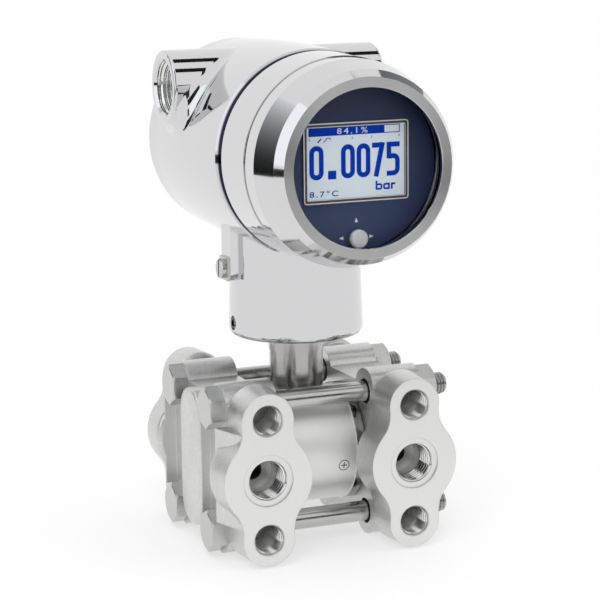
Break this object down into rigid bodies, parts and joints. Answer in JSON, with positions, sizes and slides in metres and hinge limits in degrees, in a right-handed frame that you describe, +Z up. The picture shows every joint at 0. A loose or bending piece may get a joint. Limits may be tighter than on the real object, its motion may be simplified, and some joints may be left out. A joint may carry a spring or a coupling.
{
  "type": "differential pressure transmitter",
  "caption": "Differential pressure transmitter: polished round head with a window and display on a stem above a measuring cell clamped between two cast process flanges.",
  "frame": {"origin": "centre of the front process interface, in the plane of the two flange faces, midway between the process ports", "axes": "+X along the clamping bolts, from their heads to their nuts, +Y from the window end to the rear cover, +Z up along the stem"},
  "size_m": [0.0919, 0.1186, 0.173],
  "materials": {
    "cast_steel": "blasted",
    "turned_steel": "turned",
    "bolt_steel": "satin",
    "polished_steel": "polished",
    "seal_rubber": "matte",
    "seal_plastic": "matte",
    "black_plastic": "matte",
    "navy_plastic": "satin",
    "board": "satin",
    "screen": "gloss",
    "window": "clear",
    "terminal_brass": "satin"
  },
  "bodies": {
    "base": {"process_flange_left": "cast_steel", "process_flange_right": "cast_steel", "measuring_cell": "turned_steel", "measuring_capsule": "turned_steel", "diaphragm_left": "turned_steel", "diaphragm_right": "turned_steel", "process_seal_left": "seal_plastic", "process_seal_right": "seal_plastic", "tie_bolt_front_top": "bolt_steel", "tie_bolt_front_low": "bolt_steel", "tie_bolt_rear_top": "bolt_steel", "tie_bolt_rear_low": "bolt_steel", "tie_nut_front_top": "bolt_steel", "tie_nut_front_low": "bolt_steel", "tie_nut_rear_top": "bolt_steel", "tie_nut_rear_low": "bolt_steel", "rear_plug_left": "bolt_steel", "rear_plug_right": "bolt_steel", "stem": "turned_steel", "stem_seal": "seal_rubber", "stem_circlip": "bolt_steel", "stem_header": "black_plastic"},
    "head": {"transmitter_housing": "polished_steel", "head_lock_screw": "bolt_steel", "earth_screw": "bolt_steel", "earth_clamp": "bolt_steel", "display_plate": "navy_plastic", "screen_frame": "black_plastic", "screen_module": "screen", "display_carrier": "black_plastic", "display_board": "board", "joystick_base": "black_plastic", "electronics_can": "black_plastic", "main_board": "board", "board_spacer": "black_plastic", "supply_board": "board", "can_lid": "black_plastic", "wall_feedthrough": "black_plastic", "terminal_block": "black_plastic", "terminal_screws": "terminal_brass"},
    "front_cover_thread": {"front_cover_seal": "seal_rubber"},
    "front_cover": {"front_cover": "polished_steel", "window_gasket": "seal_rubber", "window_glass": "window", "window_retainer": "bolt_steel"},
    "rear_cover_thread": {"rear_cover_seal": "seal_rubber"},
    "rear_cover": {"rear_cover": "polished_steel"},
    "joystick_gimbal": {"joystick_gimbal": "black_plastic"},
    "joystick_yoke": {"joystick_yoke": "black_plastic"},
    "joystick_cap": {"joystick_cap": "black_plastic"}
  },
  "joints": [
    {"name": "head_turn", "type": "hinge", "parent": "base", "child": "head", "pos_m": [0, 0.0409, 0.0412], "axis": [0, 0, 1], "range_deg": [-170, 170]},
    {"name": "front_cover_travel", "type": "slide", "parent": "head", "child": "front_cover_thread", "axis": [0, -1, 0], "range_m": [0, 0.0105]},
    {"name": "front_cover_turn", "type": "hinge", "parent": "front_cover_thread", "child": "front_cover", "pos_m": [0, 0, 0.10625], "axis": [0, -1, 0], "range_deg": [0, 2520]},
    {"name": "rear_cover_travel", "type": "slide", "parent": "head", "child": "rear_cover_thread", "axis": [0, 1, 0], "range_m": [0, 0.006]},
    {"name": "rear_cover_turn", "type": "hinge", "parent": "rear_cover_thread", "child": "rear_cover", "pos_m": [0, 0.0818, 0.10625], "axis": [0, 1, 0], "range_deg": [0, 1440]},
    {"name": "joystick_up_down", "type": "hinge", "parent": "head", "child": "joystick_gimbal", "pos_m": [0, -0.0073, 0.0823], "axis": [1, 0, 0], "range_deg": [-6, 6], "stiffness_Nm_per_rad": 0.02},
    {"name": "joystick_left_right", "type": "hinge", "parent": "joystick_gimbal", "child": "joystick_yoke", "pos_m": [0, -0.0073, 0.0823], "axis": [0, 0, 1], "range_deg": [-6, 6], "stiffness_Nm_per_rad": 0.02},
    {"name": "joystick_press", "type": "slide", "parent": "joystick_yoke", "child": "joystick_cap", "axis": [0, 1, 0], "range_m": [0, 0.0005], "stiffness_N_per_m": 300}
  ],
  "couplings": [
    {"joint": "front_cover_travel", "follows": "front_cover_turn", "m_per_rad": 0.00023873},
    {"joint": "rear_cover_travel", "follows": "rear_cover_turn", "m_per_rad": 0.00023873}
  ]
}
